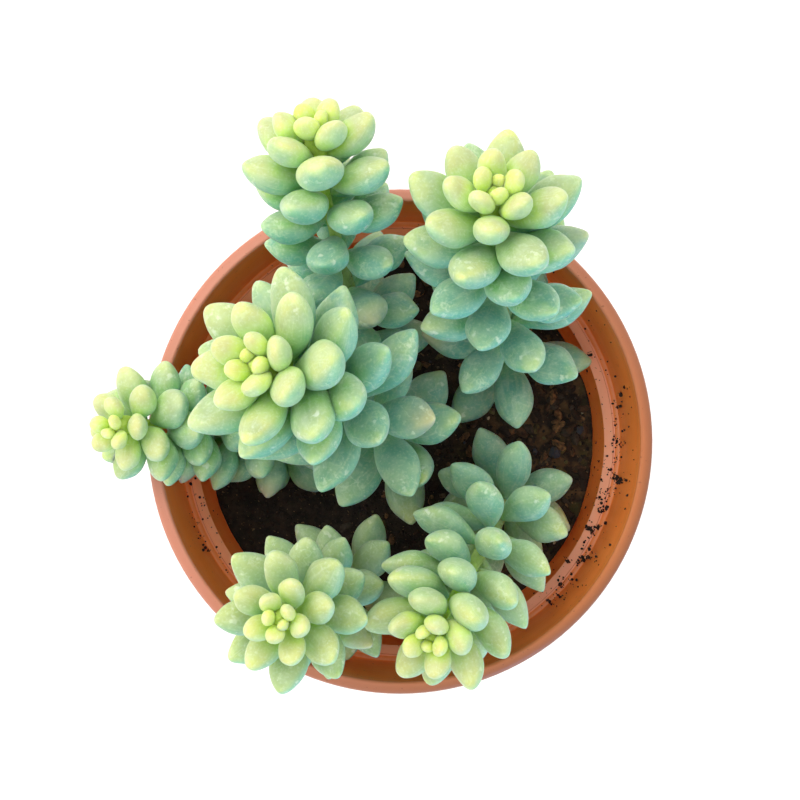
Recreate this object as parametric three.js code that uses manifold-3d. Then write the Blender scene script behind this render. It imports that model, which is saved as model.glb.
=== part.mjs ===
// A potted burro's tail: a collared plastic pot, its potting mix and six leafy stems.
// Millimetres, +Z up. The origin is the middle of the pot's foot, on the surface it stands on.
import * as THREE from 'three';
import { mergeVertices } from 'three/addons/utils/BufferGeometryUtils.js';
import Module from 'manifold-3d';

const wasm = await Module();
wasm.setup();

// Pot: outside radii and heights
const POT_HEIGHT = 125;
const RIM_RADIUS = 75;
const RIM_WIDTH = 3.7;
const RIM_EDGE = 1;
const RIM_SLOPE = 0.7;
const COLLAR_LOW = 95.5;
const COLLAR_LOW_RADIUS = 72.4;
const SHOULDER_RADIUS = 66.6;
const FOOT_RADIUS = 50.5;
// Pot: inside radii and heights
const LEDGE_HIGH = 98.2;
const LEDGE_OUTER_RADIUS = 69.6;
const LEDGE_LOW = 96.4;
const LEDGE_INNER_RADIUS = 64.5;
const FLOOR_HIGH = 4;
const FLOOR_RADIUS = 48.2;
// Pot: the foot, with a flat middle boss and a raised ring that holds the drain holes
const BOSS_RADIUS = 18;
const FOOT_RING_INNER = 38;
const CHANNEL_RAISE = 1.5;
const DRAIN_HOLES = 6;
const DRAIN_HOLE_RADIUS = 4.5;
const DRAIN_NOTCHES = 4;
const DRAIN_NOTCH_WIDTH = 9;
const ROUND_SIDES = 48;

// Potting mix
const SOIL_TOP = 85;
const SOIL_BUMP = 1.1;
const SOIL_RINGS = 4;

// Clearance between separate pieces that touch on the real plant
const SEAT_GAP = 0.3;

// Stems and leaves
const STEM_RADIUS = 2.2;
const STEM_SIDES = 5;
const STEM_STEP = 9;
const STEM_SUNK = 18;
const STEM_BARE = 4;
const TIP_COVER = 0.5;
const CURVE_STEPS = 160;
const GOLDEN_ANGLE = 137.508;
const LEAF_SIDES = 5;
const LEAF_ROWS = 4;
const LEAF_FLATNESS = 0.74;
const LEAF_CURL = 25;
const LEAF_ROOT_DEPTH = 1.2;
const YOUNGEST_SIZE = 0.25;
const SLIMMING = 0.8;
const STRETCH_FROM = 20;
const SIDED_GIRTH = 1.06;
const LEAF_GAP = 0.6;

// Each stem's curve runs from its root at the soil through a shoulder above it and a neck to its
// tip. turn is the way its leaves spiral and start is the youngest leaf's bearing. spacing is the
// distance between grown leaves along the stem, crowded how many leaves are still closer together,
// young and open are the youngest and the grown leaves' angles from the stem, and opening and
// fullGrown are how many leaves it takes to reach the open angle and the full size. The youngest
// leaves sit TIP_COVER below the stem's end. Past leaf STRETCH_FROM the old stem has stretched, so
// its leaves stand farther and farther apart, by the stem's stretch.
const STEMS = [
  {
    name: 'leafy_stem_back_left', root: [-9.9, 28.8], shoulder: 121.4,
    neck: [-17.7, 50, 145.2], tip: [-22.8, 81.1, 170.2],
    turn: 1, start: 208.7, spacing: 1.75, crowded: 8.6, young: 7.3, open: 79, opening: 8.2, stretch: 0.05,
    leafLength: 20.2, leafWidth: 12.9, fullGrown: 11.2, seed: 11,
  },
  {
    name: 'leafy_stem_back_right', root: [34.8, 25.5], shoulder: 119,
    neck: [25.6, 42.9, 139.3], tip: [24.5, 62, 180.5],
    turn: -1, start: 62.2, spacing: 1.6, crowded: 8.5, young: 8.3, open: 73.8, opening: 9.7, stretch: 0.05,
    leafLength: 25.6, leafWidth: 13.2, fullGrown: 14.5, seed: 23,
  },
  {
    name: 'leafy_stem_centre', root: [-1.6, 0.1], shoulder: 128.5,
    neck: [-18.5, 17.3, 149], tip: [-35.2, 19, 179.2],
    turn: -1, start: 119, spacing: 1.3, crowded: 7, young: 9, open: 69.7, opening: 9.1, stretch: 0.065,
    leafLength: 28, leafWidth: 13.9, fullGrown: 14.3, seed: 37,
  },
  {
    name: 'leafy_stem_over_rim', root: [-35.2, -2.3], shoulder: 114.9,
    neck: [-62.9, 7.9, 113.9], tip: [-80.1, 3.7, 145.5],
    turn: 1, start: 255.8, spacing: 1.21, crowded: 4.3, young: 6.2, open: 85, opening: 4.5, stretch: 0.03,
    leafLength: 17.4, leafWidth: 11.2, fullGrown: 14.1, seed: 41,
  },
  {
    name: 'leafy_stem_front_left', root: [-13.1, -43.2], shoulder: 112.6,
    neck: [-26.6, -49.1, 123], tip: [-31.1, -46.8, 169.2],
    turn: -1, start: 310.1, spacing: 1.49, crowded: 3.5, young: 5, open: 75, opening: 9.9, stretch: 0.04,
    leafLength: 22.5, leafWidth: 11, fullGrown: 14.9, seed: 53,
  },
  {
    name: 'leafy_stem_front_right', root: [33.4, -16.9], shoulder: 137.1,
    neck: [14.4, -47, 135.4], tip: [8.7, -52.7, 158],
    turn: -1, start: 258, spacing: 1.7, crowded: 6.3, young: 6.3, open: 74.5, opening: 9.4, stretch: 0.025,
    leafLength: 22.4, leafWidth: 11.8, fullGrown: 11.6, seed: 67,
  },
];

// Ways a leaf may bend clear of another stem, the pot or the mix, gentlest first
const SHRINKS = [1, 0.92, 0.84, 0.76, 0.68];
const LIFTS = [0, -7, 7, -14, 14, -22, -30];
const SWINGS = [0, 7, -7, 14, -14, 22, -22];
const SPOTS = [0.2, 0.4, 0.6, 0.8, 0.94];

const radians = THREE.MathUtils.degToRad;

// A closed three.js shape as a solid that can be joined and cut
function solid(geometry) {
  const bare = geometry.clone();
  bare.deleteAttribute('normal');
  bare.deleteAttribute('uv');
  const merged = mergeVertices(bare, 1e-4);
  const corners = merged.index.array;
  const kept = [];
  for (let i = 0; i < corners.length; i += 3) {
    const [a, b, c] = [corners[i], corners[i + 1], corners[i + 2]];
    if (a !== b && b !== c && c !== a) kept.push(a, b, c);
  }
  return new wasm.Manifold(new wasm.Mesh({
    numProp: 3,
    vertProperties: merged.attributes.position.array,
    triVerts: Uint32Array.from(kept),
  }));
}

function shape(body) {
  const { vertProperties, triVerts } = body.getMesh();
  const geometry = new THREE.BufferGeometry();
  geometry.setAttribute('position', new THREE.BufferAttribute(vertProperties, 3));
  geometry.setIndex(new THREE.BufferAttribute(triVerts, 1));
  geometry.computeVertexNormals();
  return geometry;
}

// A turned shape about +Z from [radius, height] points that start and end on the axis
function turned(profile) {
  const points = profile.map(([radius, height]) => new THREE.Vector2(radius, height));
  return new THREE.LatheGeometry(points, ROUND_SIDES).rotateX(Math.PI / 2);
}

function arc(centreRadius, centreHeight, radius, fromAngle, toAngle, steps) {
  const points = [];
  for (let i = 0; i <= steps; i += 1) {
    const angle = radians(fromAngle + ((toAngle - fromAngle) * i) / steps);
    points.push([centreRadius + radius * Math.cos(angle), centreHeight + radius * Math.sin(angle)]);
  }
  return points;
}

function makePot() {
  const innerEdge = RIM_RADIUS - RIM_WIDTH + RIM_EDGE;
  const profile = [
    [0, 0], [BOSS_RADIUS, 0], [BOSS_RADIUS + 1, CHANNEL_RAISE],
    [FOOT_RING_INNER - 1, CHANNEL_RAISE], [FOOT_RING_INNER, 0], [FOOT_RADIUS - 1.5, 0],
    [FOOT_RADIUS, 1.5], [SHOULDER_RADIUS, COLLAR_LOW],
    [COLLAR_LOW_RADIUS - 0.8, COLLAR_LOW], [COLLAR_LOW_RADIUS, COLLAR_LOW + 0.8],
    ...arc(RIM_RADIUS - RIM_EDGE, POT_HEIGHT - RIM_SLOPE - RIM_EDGE, RIM_EDGE, 0, 70, 2),
    ...arc(innerEdge, POT_HEIGHT - RIM_EDGE, RIM_EDGE, 90, 180, 2),
    [LEDGE_OUTER_RADIUS, LEDGE_HIGH], [LEDGE_INNER_RADIUS, LEDGE_LOW],
    [FLOOR_RADIUS, FLOOR_HIGH], [0, FLOOR_HIGH],
  ];
  let pot = solid(turned(profile));
  const channel = (BOSS_RADIUS + FOOT_RING_INNER) / 2;
  for (let i = 0; i < DRAIN_HOLES; i += 1) {
    const bearing = (2 * Math.PI * i) / DRAIN_HOLES;
    const drill = new THREE.CylinderGeometry(DRAIN_HOLE_RADIUS, DRAIN_HOLE_RADIUS, 3 * FLOOR_HIGH, 16)
      .rotateX(Math.PI / 2)
      .translate(channel * Math.cos(bearing), channel * Math.sin(bearing), 0);
    pot = pot.subtract(solid(drill));
  }
  const ringMiddle = (FOOT_RING_INNER + FOOT_RADIUS) / 2;
  for (let i = 0; i < DRAIN_NOTCHES; i += 1) {
    const notch = new THREE.BoxGeometry(2 * (FOOT_RADIUS - FOOT_RING_INNER), DRAIN_NOTCH_WIDTH, CHANNEL_RAISE)
      .translate(ringMiddle, 0, 0)
      .rotateZ((2 * Math.PI * (i + 0.5)) / DRAIN_NOTCHES);
    pot = pot.subtract(solid(notch));
  }
  return pot;
}

// Height of the mix's uneven top over its middle level
function soilBump(x, y) {
  return SOIL_BUMP * (0.6 * Math.sin(x / 7 + 1) * Math.cos(y / 9 + 2) + 0.4 * Math.sin(x / 3.7 - y / 4.9));
}

// Inner radius of the pot's body at a height below the ledge
function bodyRadius(height) {
  const part = (height - FLOOR_HIGH) / (LEDGE_LOW - FLOOR_HIGH);
  return FLOOR_RADIUS + part * (LEDGE_INNER_RADIUS - FLOOR_RADIUS);
}

function makeSoil() {
  const low = FLOOR_HIGH + SEAT_GAP;
  const lowRadius = bodyRadius(low) - SEAT_GAP;
  const topRadius = bodyRadius(SOIL_TOP) - SEAT_GAP;
  const profile = [[0, low], [lowRadius, low], [topRadius, SOIL_TOP]];
  for (let ring = SOIL_RINGS - 1; ring >= 0; ring -= 1) {
    profile.push([(topRadius * ring) / SOIL_RINGS, SOIL_TOP]);
  }
  const geometry = turned(profile);
  const place = geometry.attributes.position;
  for (let i = 0; i < place.count; i += 1) {
    const [x, y, z] = [place.getX(i), place.getY(i), place.getZ(i)];
    const fromEdge = topRadius - Math.hypot(x, y);
    if (Math.abs(z - SOIL_TOP) < 0.01 && fromEdge > 0.1) place.setZ(i, z + soilBump(x, y));
  }
  let soil = solid(geometry);
  const holeRadius = STEM_RADIUS + SEAT_GAP + 0.1;
  const holeFoot = SOIL_TOP - STEM_SUNK - SEAT_GAP;
  const drillLength = 2 * STEM_SUNK;
  for (const stem of STEMS) {
    const hole = new THREE.CylinderGeometry(holeRadius, holeRadius, drillLength, 14)
      .rotateX(Math.PI / 2)
      .translate(stem.root[0], stem.root[1], holeFoot + drillLength / 2);
    soil = soil.subtract(solid(hole));
  }
  return soil;
}

function stemCurve(stem) {
  const [x, y] = stem.root;
  return new THREE.CubicBezierCurve3(
    new THREE.Vector3(x, y, SOIL_TOP),
    new THREE.Vector3(x, y, stem.shoulder),
    new THREE.Vector3(...stem.neck),
    new THREE.Vector3(...stem.tip),
  );
}

// The stem's curve as evenly numbered stations: place, direction and length from the soil
function walk(stem) {
  const curve = stemCurve(stem);
  const stations = [];
  let length = 0;
  for (let i = 0; i < CURVE_STEPS; i += 1) {
    const t = i / (CURVE_STEPS - 1);
    const place = curve.getPoint(t);
    if (i > 0) length += place.distanceTo(stations[i - 1].place);
    stations.push({ place, length, along: bezierSlope(curve, t) });
  }
  return stations;
}

function bezierSlope({ v0, v1, v2, v3 }, t) {
  const s = 1 - t;
  const slope = new THREE.Vector3();
  slope.addScaledVector(v1.clone().sub(v0), 3 * s * s);
  slope.addScaledVector(v2.clone().sub(v1), 6 * s * t);
  slope.addScaledVector(v3.clone().sub(v2), 3 * t * t);
  return slope.normalize();
}

function stationAt(stations, length) {
  let i = 1;
  while (i < stations.length - 1 && stations[i].length < length) i += 1;
  const [a, b] = [stations[i - 1], stations[i]];
  const part = (length - a.length) / (b.length - a.length);
  return {
    place: a.place.clone().lerp(b.place, part),
    along: a.along.clone().lerp(b.along, part).normalize(),
  };
}

// Repeatable random numbers from 0 to 1
function drawer(seed) {
  let state = seed;
  return () => {
    state = (Math.imul(state, 1664525) + 1013904223) >>> 0;
    return state / 4294967296;
  };
}

// Every leaf of a stem from the youngest down, by the spiral rule, before any bends clear
function leavesOf(stem) {
  const stations = walk(stem);
  const stemLength = stations[stations.length - 1].length;
  const draw = drawer(stem.seed);
  const leaves = [];
  for (let i = 0; ; i += 1) {
    const fromTip = Math.max(TIP_COVER, (stem.spacing * i * i) / (i + stem.crowded))
      + stem.stretch * Math.max(0, i - STRETCH_FROM) ** 2;
    if (fromTip > stemLength - STEM_BARE) break;
    const { place, along } = stationAt(stations, stemLength - fromTip);
    const unevenness = Math.min(1, i / 24);
    const size = Math.min(1, YOUNGEST_SIZE + ((1 - YOUNGEST_SIZE) * i) / stem.fullGrown);
    const openness = 1 - Math.exp(-i / stem.opening);
    leaves.push({
      place,
      along,
      bearing: stem.start + stem.turn * GOLDEN_ANGLE * i + 12 * (draw() - 0.5) * unevenness,
      angle: stem.young + (stem.open - stem.young) * openness + 10 * (draw() - 0.5) * unevenness,
      length: stem.leafLength * size * (1 + 0.12 * (draw() - 0.5) * unevenness),
      halfWidth: (stem.leafWidth / 2) * size ** SLIMMING,
    });
  }
  return leaves;
}

// A leaf's outward, across and upper directions and its bent midline, which curls to the stem tip
function leafPose(leaf, u) {
  const across0 = new THREE.Vector3(1, 0, 0);
  const side = across0.addScaledVector(leaf.along, -across0.dot(leaf.along)).normalize();
  const other = leaf.along.clone().cross(side);
  const bearing = radians(leaf.bearing);
  const out = side.multiplyScalar(Math.cos(bearing)).addScaledVector(other, Math.sin(bearing));
  const curl = radians(LEAF_CURL);
  const rootAngle = radians(leaf.angle) + curl / 2;
  const angle = rootAngle - curl * u;
  const forward = (Math.sin(rootAngle) - Math.sin(angle)) / curl;
  const outward = (Math.cos(angle) - Math.cos(rootAngle)) / curl;
  const place = leaf.place.clone()
    .addScaledVector(leaf.along, leaf.length * forward)
    .addScaledVector(out, LEAF_ROOT_DEPTH + leaf.length * outward);
  const ahead = leaf.along.clone().multiplyScalar(Math.cos(angle)).addScaledVector(out, Math.sin(angle));
  const across = leaf.along.clone().cross(out);
  const upper = ahead.clone().cross(across);
  return { place, across, upper };
}

// Plumpness along the leaf: a narrow root, the fullest part past the middle, a blunt point
function plumpness(u) {
  return u >= 1 ? 0 : Math.sin(Math.PI * u ** 1.35) ** 0.62;
}

function leafSpots(leaf) {
  return SPOTS.map((u) => ({
    place: leafPose(leaf, u).place,
    radius: leaf.halfWidth * plumpness(u) * SIDED_GIRTH,
  }));
}

// The pot's wall as straight stretches of [radius, height], with half its thickness
const WALL_HALF = 2;
const WALL = [[73.1, 123], [70.9, 97], [65.6, 95.5], [50, 4]];

function wallGap(place) {
  const radius = Math.hypot(place.x, place.y);
  let nearest = Infinity;
  for (let i = 1; i < WALL.length; i += 1) {
    const [[r0, z0], [r1, z1]] = [WALL[i - 1], WALL[i]];
    const [dr, dz] = [r1 - r0, z1 - z0];
    const part = ((radius - r0) * dr + (place.z - z0) * dz) / (dr * dr + dz * dz);
    const held = Math.min(1, Math.max(0, part));
    nearest = Math.min(nearest, Math.hypot(radius - r0 - held * dr, place.z - z0 - held * dz));
  }
  return nearest - WALL_HALF;
}

function isClear(spots, stemIndex, taken) {
  for (const { place, radius } of spots) {
    if (place.z - radius < SOIL_TOP + SOIL_BUMP + LEAF_GAP) return false;
    if (wallGap(place) < radius + LEAF_GAP) return false;
    for (const other of taken) {
      if (other.stemIndex === stemIndex) continue;
      if (place.distanceTo(other.place) < radius + other.radius + LEAF_GAP) return false;
    }
  }
  return true;
}

function bendClear(leaf, stemIndex, taken) {
  for (const shrink of SHRINKS) {
    for (const lift of LIFTS) {
      for (const swing of SWINGS) {
        const bent = {
          ...leaf,
          bearing: leaf.bearing + swing,
          angle: leaf.angle + lift,
          length: leaf.length * shrink,
          halfWidth: leaf.halfWidth * shrink,
        };
        if (isClear(leafSpots(bent), stemIndex, taken)) return bent;
      }
    }
  }
  return null;
}

// All six stems' leaves, youngest first on every stem, each bent clear of the other stems
function growLeaves() {
  const taken = [];
  STEMS.forEach((stem, stemIndex) => {
    const stations = walk(stem);
    for (let i = 0; i < stations.length; i += 4) {
      taken.push({ stemIndex, place: stations[i].place, radius: STEM_RADIUS });
    }
  });
  const waiting = STEMS.map(leavesOf);
  const grown = STEMS.map(() => []);
  const most = Math.max(...waiting.map((leaves) => leaves.length));
  for (let i = 0; i < most; i += 1) {
    for (let stemIndex = 0; stemIndex < STEMS.length; stemIndex += 1) {
      if (i >= waiting[stemIndex].length) continue;
      const leaf = bendClear(waiting[stemIndex][i], stemIndex, taken);
      if (leaf === null) continue;
      grown[stemIndex].push(leaf);
      for (const spot of leafSpots(leaf)) taken.push({ stemIndex, ...spot });
    }
  }
  return grown;
}

function leafShape(leaf) {
  const geometry = new THREE.SphereGeometry(1, LEAF_SIDES, LEAF_ROWS);
  const place = geometry.attributes.position;
  for (let i = 0; i < place.count; i += 1) {
    const u = (1 - place.getY(i)) / 2;
    const pose = leafPose(leaf, u);
    const around = Math.atan2(place.getX(i), -place.getZ(i));
    const girth = leaf.halfWidth * SIDED_GIRTH * plumpness(u);
    pose.place.addScaledVector(pose.across, girth * Math.cos(around));
    pose.place.addScaledVector(pose.upper, girth * LEAF_FLATNESS * Math.sin(around));
    place.setXYZ(i, pose.place.x, pose.place.y, pose.place.z);
  }
  return geometry;
}

function stemShape(stem) {
  const [x, y] = stem.root;
  const route = new THREE.CurvePath();
  const surface = new THREE.Vector3(x, y, SOIL_TOP);
  route.add(new THREE.LineCurve3(new THREE.Vector3(x, y, SOIL_TOP - STEM_SUNK), surface));
  route.add(stemCurve(stem));
  const section = new THREE.Shape();
  for (let i = 0; i < STEM_SIDES; i += 1) {
    const angle = (2 * Math.PI * i) / STEM_SIDES;
    const [across, up] = [STEM_RADIUS * Math.cos(angle), STEM_RADIUS * Math.sin(angle)];
    if (i === 0) section.moveTo(across, up);
    else section.lineTo(across, up);
  }
  section.closePath();
  const steps = Math.round(route.getLength() / STEM_STEP);
  return new THREE.ExtrudeGeometry(section, { steps, extrudePath: route, curveSegments: 1 });
}

// Fuse a stem and its leaves, fill any space sealed between them and drop loose scraps
function makeStem(stem, leaves) {
  const pieces = [solid(stemShape(stem)), ...leaves.map((leaf) => solid(leafShape(leaf)))];
  const fused = wasm.Manifold.union(pieces);
  let largest = null;
  for (const piece of fused.decompose()) {
    if (largest === null || piece.volume() > largest.volume()) largest = piece;
  }
  return largest;
}

function named(name, body, color, roughness) {
  const material = new THREE.MeshStandardMaterial({ color, roughness, metalness: 0 });
  const mesh = new THREE.Mesh(shape(body), material);
  mesh.name = name;
  return mesh;
}

const plant = new THREE.Group();
plant.add(named('pot', makePot(), '#c06a41', 0.5));
plant.add(named('soil', makeSoil(), '#2a2420', 0.95));
const grown = growLeaves();
STEMS.forEach((stem, stemIndex) => {
  plant.add(named(stem.name, makeStem(stem, grown[stemIndex]), '#a9c79a', 0.5));
});

export default plant;
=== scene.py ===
import math

import bpy
import numpy as np
from mathutils import Matrix, Vector, noise


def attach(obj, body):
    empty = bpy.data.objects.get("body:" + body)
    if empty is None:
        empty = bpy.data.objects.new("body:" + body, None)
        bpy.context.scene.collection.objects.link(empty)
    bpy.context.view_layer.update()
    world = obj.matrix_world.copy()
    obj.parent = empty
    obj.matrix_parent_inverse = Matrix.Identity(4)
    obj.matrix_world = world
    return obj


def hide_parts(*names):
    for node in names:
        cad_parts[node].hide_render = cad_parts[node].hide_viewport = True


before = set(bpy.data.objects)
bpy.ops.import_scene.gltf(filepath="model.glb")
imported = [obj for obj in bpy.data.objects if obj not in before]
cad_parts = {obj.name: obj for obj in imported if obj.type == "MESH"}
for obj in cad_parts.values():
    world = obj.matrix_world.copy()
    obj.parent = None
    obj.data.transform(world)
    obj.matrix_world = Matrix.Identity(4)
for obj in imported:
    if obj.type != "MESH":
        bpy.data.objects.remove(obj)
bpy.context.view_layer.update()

# Pot
# One moulded shell of clay-coloured plastic: a rounded rim that slopes outwards, a tall collar with a
# sloped ledge inside its foot, a tapered body and a foot with drain holes. The mould leaves faint turned
# rings in it, and water leaves chalky marks on its outside. Light and shade are painted on it too: the
# inside lighter and the outside darker, a pinkish reflection on faces that look up, and a rim that is
# lighter towards the lamps and darker away from them, darkest at its outer edge there.
MM = 0.001
POT_HEIGHT = 125
RIM_RADIUS = 75
RIM_WIDTH = 4.1
RIM_EDGE = 2.5
RIM_CREST = 0.8
RIM_TILT = 24
COLLAR_LOW = 95.5
COLLAR_LOW_RADIUS = 72.4
SHOULDER_RADIUS = 66.6
FOOT_RADIUS = 50.5
LEDGE_HIGH = 98.2
LEDGE_OUTER_RADIUS = 69.1
LEDGE_LOW = 96.4
LEDGE_INNER_RADIUS = 64.5
LEDGE_CURVE = 0.9
GROOVE_RADIUS = 67.6
GROOVE_WIDTH = 0.9
GROOVE_DEPTH = 0.3
FLOOR_HIGH = 4
FLOOR_RADIUS = 48.2
BOSS_RADIUS = 18
FOOT_RING_INNER = 38
CHANNEL_RAISE = 1.5
DRAIN_HOLES = 6
DRAIN_HOLE_RADIUS = 4.5
DRAIN_NOTCHES = 4
DRAIN_NOTCH_WIDTH = 9
EDGE_ROUNDING = 0.35
POT_SIDES = 128


def colour(red, green, blue):
    """A colour given as it looks on a screen, 0 to 255, as the linear values that shaders read."""
    linear = [((c / 255 + 0.055) / 1.055) ** 2.4 if c > 10 else c / 255 / 12.92 for c in (red, green, blue)]
    return (*linear, 1)


def settle(name):
    """Leaves edit mode, names the piece that was just modelled and deselects everything."""
    if bpy.context.object.mode != "OBJECT":
        bpy.ops.object.mode_set(mode="OBJECT")
    piece = bpy.context.object
    piece.name = name
    piece.data.name = name
    bpy.ops.object.select_all(action="DESELECT")
    return piece


def apply_modifiers(piece):
    bpy.context.view_layer.objects.active = piece
    piece.select_set(True)
    for modifier in list(piece.modifiers):
        bpy.ops.object.modifier_apply(modifier=modifier.name)
    piece.select_set(False)


def turned(name, profile, sides):
    """A closed turned shape: a circle extruded from ring to ring along [radius, height] points."""
    bpy.ops.object.select_all(action="DESELECT")
    radius, height = profile[0]
    bpy.ops.mesh.primitive_circle_add(vertices=sides, radius=radius * MM, location=(0, 0, 0))
    bpy.ops.object.mode_set(mode="EDIT")
    bpy.ops.transform.translate(value=(0, 0, height * MM))
    for next_radius, next_height in profile[1:]:
        rise = (0, 0, (next_height - height) * MM)
        bpy.ops.mesh.extrude_edges_move(TRANSFORM_OT_translate={"value": rise})
        widening = next_radius / radius
        bpy.ops.transform.resize(value=(widening, widening, 1), center_override=(0, 0, 0))
        radius, height = next_radius, next_height
    bpy.ops.mesh.select_all(action="SELECT")
    bpy.ops.mesh.fill_holes(sides=0)
    bpy.ops.mesh.remove_doubles(threshold=1e-6)
    bpy.ops.mesh.normals_make_consistent(inside=False)
    return settle(name)


def joined(pieces, name):
    """Several loose pieces as one object."""
    bpy.ops.object.select_all(action="DESELECT")
    for piece in pieces:
        piece.select_set(True)
    bpy.context.view_layer.objects.active = pieces[0]
    bpy.ops.object.join()
    return settle(name)


def copy_of(pattern):
    """A copy of a pattern piece, with a mesh of its own."""
    copy = pattern.copy()
    copy.data = pattern.data.copy()
    bpy.context.scene.collection.objects.link(copy)
    return copy


def cut_out(piece, cutters, name):
    """Cuts the joined cutters out of a piece and removes them."""
    cutter = joined(cutters, name)
    cut = piece.modifiers.new(name, "BOOLEAN")
    cut.operation = "DIFFERENCE"
    cut.solver = "EXACT"
    cut.object = cutter
    apply_modifiers(piece)
    bpy.data.objects.remove(cutter)


def ledge_height(radius):
    """Height of the inner ledge's surface, which falls gently inwards."""
    part = (radius - LEDGE_INNER_RADIUS) / (LEDGE_OUTER_RADIUS - LEDGE_INNER_RADIUS)
    return LEDGE_LOW + part * (LEDGE_HIGH - LEDGE_LOW)


def arc(centre_radius, centre_height, radius, from_angle, to_angle, steps):
    angles = [math.radians(from_angle + (to_angle - from_angle) * i / steps) for i in range(steps + 1)]
    return [(centre_radius + radius * math.cos(a), centre_height + radius * math.sin(a)) for a in angles]


groove = []
for offset, depth in ((0.5, 0), (0.25, 1), (-0.25, 1), (-0.5, 0)):
    groove_radius = GROOVE_RADIUS + offset * GROOVE_WIDTH
    groove.append((groove_radius, ledge_height(groove_radius) - depth * GROOVE_DEPTH))
tilt = math.radians(RIM_TILT)
between_edges = RIM_WIDTH - RIM_EDGE - RIM_CREST
rim_slope = between_edges * math.sin(tilt) + (RIM_EDGE - RIM_CREST) * (1 - math.cos(tilt))
rim_slope /= math.cos(tilt)
pot = turned("plastic_pot", [
    (BOSS_RADIUS, 0), (BOSS_RADIUS + 1, CHANNEL_RAISE), (FOOT_RING_INNER - 1, CHANNEL_RAISE),
    (FOOT_RING_INNER, 0), (FOOT_RADIUS - 1.5, 0), (FOOT_RADIUS, 1.5), (SHOULDER_RADIUS, COLLAR_LOW),
    (COLLAR_LOW_RADIUS - 0.8, COLLAR_LOW), (COLLAR_LOW_RADIUS, COLLAR_LOW + 0.8),
    *arc(RIM_RADIUS - RIM_EDGE, POT_HEIGHT - rim_slope - RIM_EDGE, RIM_EDGE, 0, 90 - RIM_TILT, 9),
    *arc(RIM_RADIUS - RIM_WIDTH + RIM_CREST, POT_HEIGHT - RIM_CREST, RIM_CREST, 90 - RIM_TILT, 180, 7),
    (LEDGE_OUTER_RADIUS + 0.3, LEDGE_HIGH + 2),
    *arc(LEDGE_OUTER_RADIUS - 0.7, LEDGE_HIGH + 1.1, LEDGE_CURVE, 0, -70, 4),
    *groove, (LEDGE_INNER_RADIUS, LEDGE_LOW), (FLOOR_RADIUS, FLOOR_HIGH), (BOSS_RADIUS, FLOOR_HIGH),
], POT_SIDES)

drills = []
for hole in range(DRAIN_HOLES):
    bearing = 2 * math.pi * hole / DRAIN_HOLES
    channel = (BOSS_RADIUS + FOOT_RING_INNER) / 2 * MM
    bpy.ops.mesh.primitive_cylinder_add(
        vertices=32, radius=DRAIN_HOLE_RADIUS * MM, depth=3 * FLOOR_HIGH * MM,
        location=(channel * math.cos(bearing), channel * math.sin(bearing), 0))
    drills.append(settle("drill"))
cut_out(pot, drills, "drain_holes")
notches = []
for notch in range(DRAIN_NOTCHES):
    bearing = 2 * math.pi * (notch + 0.5) / DRAIN_NOTCHES
    ring_middle = (FOOT_RING_INNER + FOOT_RADIUS) / 2 * MM
    bpy.ops.mesh.primitive_cube_add(
        size=1, location=(ring_middle * math.cos(bearing), ring_middle * math.sin(bearing), 0),
        rotation=(0, 0, bearing),
        scale=(2 * (FOOT_RADIUS - FOOT_RING_INNER) * MM, DRAIN_NOTCH_WIDTH * MM, CHANNEL_RAISE * MM))
    notches.append(settle("notch"))
cut_out(pot, notches, "drain_notches")
rounding = pot.modifiers.new("rounded_edges", "BEVEL")
rounding.width = EDGE_ROUNDING * MM
rounding.segments = 2
rounding.limit_method = "ANGLE"
rounding.angle_limit = math.radians(35)
apply_modifiers(pot)
bpy.context.view_layer.objects.active = pot
pot.select_set(True)
bpy.ops.object.shade_smooth_by_angle(angle=math.radians(32))
pot.select_set(False)
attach(pot, "root")
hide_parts("pot")


def node(tree, kind, inputs=(), **settings):
    """A new shader node with its settings, and its inputs given as plain values or as other sockets."""
    made = tree.nodes.new(kind)
    for name, value in settings.items():
        setattr(made, name, value)
    for name, value in dict(inputs).items():
        if isinstance(value, bpy.types.NodeSocket):
            tree.links.new(value, made.inputs[name])
        else:
            made.inputs[name].default_value = value
    return made


def spread(tree, value, low, high, to_low=0, to_high=1):
    """A value stretched so that low becomes to_low and high becomes to_high, and held there."""
    sizes = {"Value": value, "From Min": low, "From Max": high, "To Min": to_low, "To Max": to_high}
    return node(tree, "ShaderNodeMapRange", sizes).outputs["Result"]


def times(tree, first, second):
    return node(tree, "ShaderNodeMath", {0: first, 1: second}, operation="MULTIPLY").outputs[0]


def painted(tree, mask, under, over):
    """The colour under, painted over with another where the mask is 1."""
    mix = node(tree, "ShaderNodeMix", {0: mask, 6: under, 7: over}, data_type="RGBA")
    return mix.outputs[2]


def towards(tree, direction, way):
    """How far a direction or a place lies towards a way: their dot product."""
    product = node(tree, "ShaderNodeVectorMath", {0: direction, 1: way}, operation="DOT_PRODUCT")
    return product.outputs["Value"]


def attribute(tree, name):
    return node(tree, "ShaderNodeAttribute", attribute_name=name).outputs["Fac"]


def new_finish(name, plain):
    """A new material whose shader takes these plain values, with its node tree and shader."""
    material = bpy.data.materials.new(name)
    material.use_nodes = True
    shader = material.node_tree.nodes["Principled BSDF"]
    for socket, value in plain.items():
        shader.inputs[socket].default_value = value
    return material, material.node_tree, shader


def roughen(tree, shader, height, distance):
    """Raises and sinks the surface by a height from 0 to 1, over a distance in mm."""
    bump = node(tree, "ShaderNodeBump", {"Height": height, "Distance": distance * MM})
    tree.links.new(bump.outputs["Normal"], shader.inputs["Normal"])


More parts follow.
